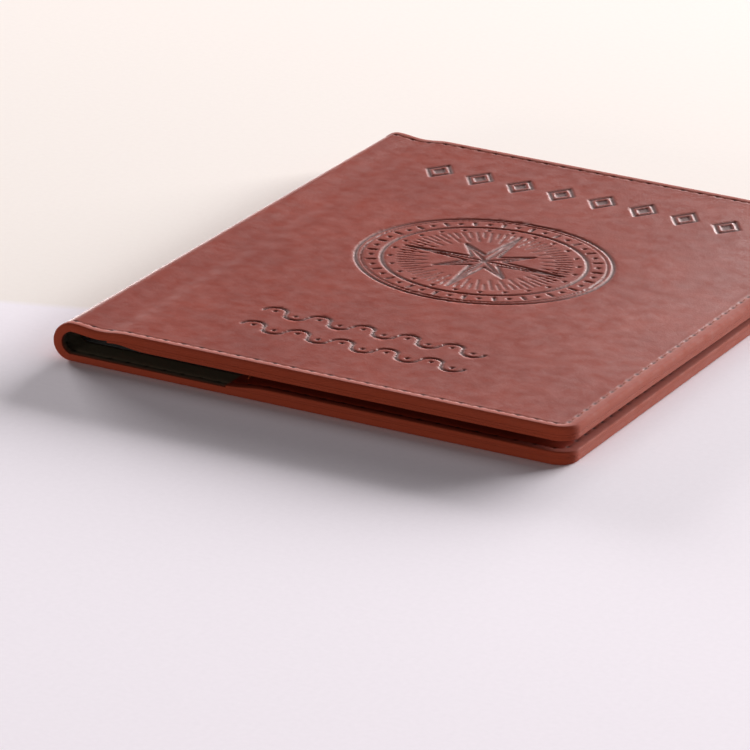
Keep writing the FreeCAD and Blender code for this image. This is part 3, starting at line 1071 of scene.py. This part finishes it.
def leather_material():
    """Smooth waxed brown leather: cloudy colour, fine grain, darker in pressed lines from
    heat-darkening and painted shade; painted shade in stitch holes and a grey-green tint with painted
    shade on the hem inside.
    """
    n = Nodes("brown_leather_finish")
    place = n.attribute("grain", "Vector")
    cloud = n.spread(n.noise(place, 0.035, 4.0, 0.55), 0.3, 0.7)
    blotch = n.spread(n.noise(place, 0.22, 5.0, 0.6), 0.3, 0.72)
    fleck = n.spread(n.noise(place, 2.2, 3.0, 0.6), 0.42, 0.7)
    colour = n.mix(cloud, CLOUD_DARK, CLOUD_LIGHT)
    colour = n.mix(n.math("MULTIPLY", blotch, 0.3), colour, BLOTCH)
    colour = n.mix(n.math("MULTIPLY", fleck, 0.12), colour, FLECK)
    wear = n.math("MULTIPLY", n.attribute("edge"), n.spread(blotch, 0.2, 1.0, 0.35, 0.7))
    colour = n.mix(wear, colour, WORN_EDGE)
    colour = n.mix(n.math("MULTIPLY", n.attribute("rim"), 0.8), colour, RIM)
    # pressed lines: heat-darkened leather together with painted shade of the recess
    colour = n.mix(n.math("MULTIPLY", n.attribute("press"), 0.85), colour, PRESSED_DARK_AND_SHADE)
    # hem inside the loop: grey-green tint, partly painted shade
    colour = n.mix(n.attribute("stain"), colour, GREY_TINT_AND_SHADE)
    # painted shade: stitch holes darkened nearly to black
    colour = n.mix(n.attribute("hole"), colour, HOLE_SHADE)
    cells = n.add("TexVoronoi", {"Vector": place, "Scale": 1.5}, feature="DISTANCE_TO_EDGE")
    pores = n.spread(cells.outputs["Distance"], 0.0, 0.25)
    fine = n.noise(place, 4.5, 4.0, 0.6)
    normal = n.bump(n.noise(place, 0.5, 3.0), 0.25, 0.00012)
    normal = n.bump(pores, 0.16, 0.00004, normal)
    normal = n.bump(fine, 0.2, 0.00004, normal)
    rough = n.spread(n.noise(place, 0.3, 4.0, 0.6), 0.25, 0.75, 0.35, 0.5)
    for name, amount in ROUGHER:
        rough = n.math("ADD", rough, n.math("MULTIPLY", n.attribute(name), amount))
    return n.finish({
        "Base Color": colour,
        "Roughness": rough,
        "Normal": normal,
        "Specular IOR Level": 0.32,
    })


def thread_material():
    """Twisted orange-brown thread."""
    n = Nodes("sewing_thread_finish")
    place = n.attribute("grain", "Vector")
    parts = n.add("SeparateXYZ", {"Vector": place}).outputs
    twist = n.math("ADD", n.math("MULTIPLY", parts["X"], 9.0), parts["Y"])
    strand = n.spread(n.math("SINE", twist, 0.0), -1.0, 1.0)
    colour = n.mix(strand, rgb(96, 36, 18), rgb(158, 72, 40))
    fuzz = n.noise(place, 6.0, 3.0)
    colour = n.mix(n.spread(fuzz, 0.4, 0.8, 0.0, 0.3), colour, rgb(168, 80, 48))
    return n.finish({
        "Base Color": colour,
        "Roughness": n.spread(fuzz, 0.2, 0.8, 0.75, 0.9),
        "Specular IOR Level": 0.08,
        "Normal": n.bump(strand, 0.4, 0.00006),
    })


def lining_material():
    """Dark plain-weave lining cloth."""
    n = Nodes("lining_cloth_finish")
    place = n.attribute("grain", "Vector")
    parts = n.add("SeparateXYZ", {"Vector": place}).outputs
    pitch = 2 * math.pi / WEAVE
    warp = n.math("SINE", n.math("MULTIPLY", parts["X"], pitch), 0.0)
    weft = n.math("SINE", n.math("MULTIPLY", parts["Y"], pitch), 0.0)
    weave = n.spread(n.math("MULTIPLY", warp, weft), -1.0, 1.0)
    slub = n.noise(place, 0.8, 4.0)
    colour = n.mix(weave, rgb(18, 19, 18), rgb(46, 48, 44))
    colour = n.mix(n.spread(slub, 0.4, 0.8, 0.0, 0.4), colour, rgb(60, 56, 50))
    return n.finish({
        "Base Color": colour,
        "Roughness": n.spread(slub, 0.2, 0.8, 0.7, 0.9),
        "Normal": n.bump(weave, 0.5, 0.0001),
        "Sheen Weight": 0.15,
    })


def stiffener_material():
    """Grey-brown fibre board with scattered fibres."""
    n = Nodes("stiffener_finish")
    place = n.attribute("grain", "Vector")
    fibres = n.noise(place, 1.6, 5.0, 0.7)
    colour = n.mix(n.spread(fibres, 0.3, 0.7), rgb(120, 104, 88), rgb(168, 150, 128))
    return n.finish({
        "Base Color": colour,
        "Roughness": n.spread(fibres, 0.3, 0.7, 0.75, 0.9),
        "Normal": n.bump(fibres, 0.3, 0.0001),
    })


def foil_material():
    """Thin metallised sheet with soft creases."""
    n = Nodes("shield_foil_finish")
    place = n.attribute("grain", "Vector")
    creases = n.noise(place, 0.4, 5.0, 0.6)
    return n.finish({
        "Base Color": n.mix(creases, rgb(190, 192, 196), rgb(224, 225, 228)),
        "Metallic": 1.0,
        "Roughness": n.spread(creases, 0.3, 0.7, 0.25, 0.4),
        "Normal": n.bump(creases, 0.4, 0.0003),
    })


def floor_material():
    """Pale floor, cooler in front and warmer beyond a soft line under the holder."""
    n = Nodes("pale_floor")
    place = n.add("NewGeometry").outputs["Position"]
    parts = n.add("SeparateXYZ", {"Vector": place}).outputs
    across = n.math("SUBTRACT", parts["Y"], n.math("MULTIPLY", parts["X"], FLOOR_SLOPE))
    behind = n.math("MULTIPLY", n.math("MAXIMUM", parts["X"], 0.0), FLOOR_TURN)
    across = n.math("SUBTRACT", across, behind)
    beyond = n.spread(across, FLOOR_LINE - FLOOR_LINE_SOFT, FLOOR_LINE + FLOOR_LINE_SOFT)
    speck = n.noise(place, 900.0, 2.0)
    near = n.mix(speck, rgb(241, 234, 242), rgb(247, 240, 248))
    far = n.mix(speck, rgb(236, 227, 222), rgb(240, 232, 227))
    return n.finish({
        "Base Color": n.mix(beyond, near, far),
        "Roughness": 0.8,
        "Specular IOR Level": 0.1,
    })


# ==== Stage

# The floor, in metres
FLOOR_SLOPE = 0.34  # slope of the line where its colour changes
FLOOR_LINE = -0.0219  # y of that line at the frame's origin
FLOOR_LINE_SOFT = 0.0015
FLOOR_TURN = 1.2  # extra slope of the line from the holder's middle on
FLOOR_SIZE = 6.0
FLOOR_GAP = 0.00002  # floor below the rear cover's face

# Name, place, width, height, power and colour of each panel, in metres and watts
LIGHTS = (
    ("back_light", (0.76, 3.5, 0.62), 3.28, 0.86, 560.0, (1.0, 0.985, 0.98)),
    ("side_light", (1.6, 0.1, 0.7), 0.9, 0.8, 1.0, (1.0, 0.97, 0.96)),
    ("top_light", (0.2, 0.9, 1.5), 1.0, 1.0, 3.5, (1.0, 0.98, 1.0)),
    ("left_light", (-2.45, 1.75, 0.44), 1.3, 0.5, 112.0, (1.0, 0.985, 0.98)),
    ("front_light", (-0.3, -2.5, 0.3), 1.6, 0.4, 25.0, (1.0, 0.93, 0.88)),
)

ROOM_COLOUR = (1.0, 0.9, 0.88, 1.0)
ROOM_STRENGTH = 0.05

# The camera, in degrees, metres and, for its lens and sensor, millimetres
CAMERA_AZIMUTH = 25.32
CAMERA_ELEVATION = 20.10
CAMERA_ROLL = 2.72
CAMERA_DISTANCE = 1.1362
CAMERA_AIM = (-0.01819, -0.01347)  # right and up from the frame's origin, seen from the camera
CAMERA_LENS = 282.9
CAMERA_SENSOR = 36.0
CAMERA_NEAR = 0.05


def add_camera():
    azimuth, elevation = math.radians(CAMERA_AZIMUTH), math.radians(CAMERA_ELEVATION)
    roll = math.radians(CAMERA_ROLL)
    ahead = math.cos(elevation)
    look = np.array([-math.sin(azimuth) * ahead, math.cos(azimuth) * ahead, -math.sin(elevation)])
    level = np.cross(look, (0, 0, 1))
    level /= np.linalg.norm(level)
    rise = np.cross(level, look)
    right = math.cos(roll) * level + math.sin(roll) * rise
    up = math.cos(roll) * rise - math.sin(roll) * level
    place = CAMERA_AIM[0] * right + CAMERA_AIM[1] * up - CAMERA_DISTANCE * look
    data = bpy.data.cameras.new("camera")
    data.lens = CAMERA_LENS
    data.sensor_width = CAMERA_SENSOR
    data.clip_start = CAMERA_NEAR
    camera = bpy.data.objects.new("camera", data)
    turn = Matrix(np.array([right, up, -look]).T.tolist()).to_4x4()
    camera.matrix_world = Matrix.Translation(place.tolist()) @ turn
    bpy.context.scene.collection.objects.link(camera)
    bpy.context.scene.camera = camera


def add_light(name, place, width, height, watts, colour):
    """Soft panel light at a place, facing the holder."""
    data = bpy.data.lights.new(name, "AREA")
    data.shape = "RECTANGLE"
    data.size = width
    data.size_y = height
    data.energy = watts
    data.color = colour
    light = bpy.data.objects.new(name, data)
    light.visible_camera = False
    away = np.array(place) / np.linalg.norm(place)
    side = np.cross((0, 0, 1), away)
    side /= np.linalg.norm(side)
    turn = Matrix(np.array([side, np.cross(away, side), away]).T.tolist()).to_4x4()
    light.matrix_world = Matrix.Translation(place) @ turn
    bpy.context.scene.collection.objects.link(light)


def add_stage():
    mesh = bpy.data.meshes.new("floor")
    half = FLOOR_SIZE / 2
    corners = [(-half, -half), (half, -half), (half, half), (-half, half)]
    mesh.from_pydata([(x, y, -FLOOR_GAP) for x, y in corners], [], [(0, 1, 2, 3)])
    mesh.materials.append(floor_material())
    floor = bpy.data.objects.new("floor", mesh)
    bpy.context.scene.collection.objects.link(floor)
    world_light = bpy.data.worlds.new("soft_room")
    world_light.use_nodes = True
    background = world_light.node_tree.nodes["Background"]
    background.inputs["Color"].default_value = ROOM_COLOUR
    background.inputs["Strength"].default_value = ROOM_STRENGTH
    bpy.context.scene.world = world_light
    bpy.context.scene.view_settings.view_transform = "Standard"
    for light in LIGHTS:
        add_light(*light)


# ==== The holder

def main():
    leather, thread, lining = leather_material(), thread_material(), lining_material()
    board, foil = stiffener_material(), foil_material()
    for side in ("rear", "front"):
        cover_skin(side, leather)
        sheets = (
            ("_board_sheet", "_board", board, "stiffener"),
            ("_foil_sheet", "_shield_foil", foil, "shield_foil"),
        )
        for piece, node, material, slot in sheets:
            low, high = depths(side + node, side)
            profile = sheet_profile(low + FACE_GAP, high - FACE_GAP)
            flat_piece(side + piece, side, COVER, profile, material, slot, [side + node])
        profile = sheet_profile(FOIL_TOP + FACE_GAP, SHELL)
        piece, nodes = side + "_lining_sheet", [side + "_lining"]
        cloth = flat_piece(piece, side, COVER, profile, lining, "lining_cloth", nodes)
    spine_loop(leather, lining)

    pockets = (
        ("rear", "passport_sleeve", "sleeve_leather", SLEEVE, True),
        ("front", "card_panel", "card_panel_leather", PANEL, False),
    )
    for side, node, piece, outline, mouth_seam in pockets:
        low, high = depths(node, side)
        strips = [side + "_edge_strip_" + end for end in ("lower", "upper", "fore")]
        strip_low, strip_high = depths(strips[0], side)
        strip_sweep(side + "_edge_strip", side, outline, strip_low, strip_high, leather, strips)
        relief = pocket_relief(outline, low, high, mouth_seam)
        profile = pocket_profile(low, high)
        flat_piece(piece, side, outline, profile, leather, "brown_leather", [node], relief, (8, 4))
        cover_stitches(side, outline, high, thread)

    for name in SLOTS:
        node = "card_slot_" + name
        low, high = box_mm(node)
        along, across = round((high[0] - low[0]) / SLOT_CELL), round(2 * high[1] / SLOT_CELL)
        outline = Outline(low[0], high[0], high[1], SLOT_CORNER, along, across)
        near, far = depths(node, "front")
        profile = thin_profile(0.0, near + FACE_GAP, far, SLOT_ROUND, SLOT_RIM)
        relief, piece = slot_relief(low[0]), node + "_leather"
        flat_piece(piece, "front", outline, profile, leather, "brown_leather", [node], relief, (8, 4))

    loop_stitches(thread)
    mouth_stitches(thread)
    slot_stitches(thread)
    add_stage()
    add_camera()


main()
for side in ("front", "rear"):
    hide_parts(side + "_leather")
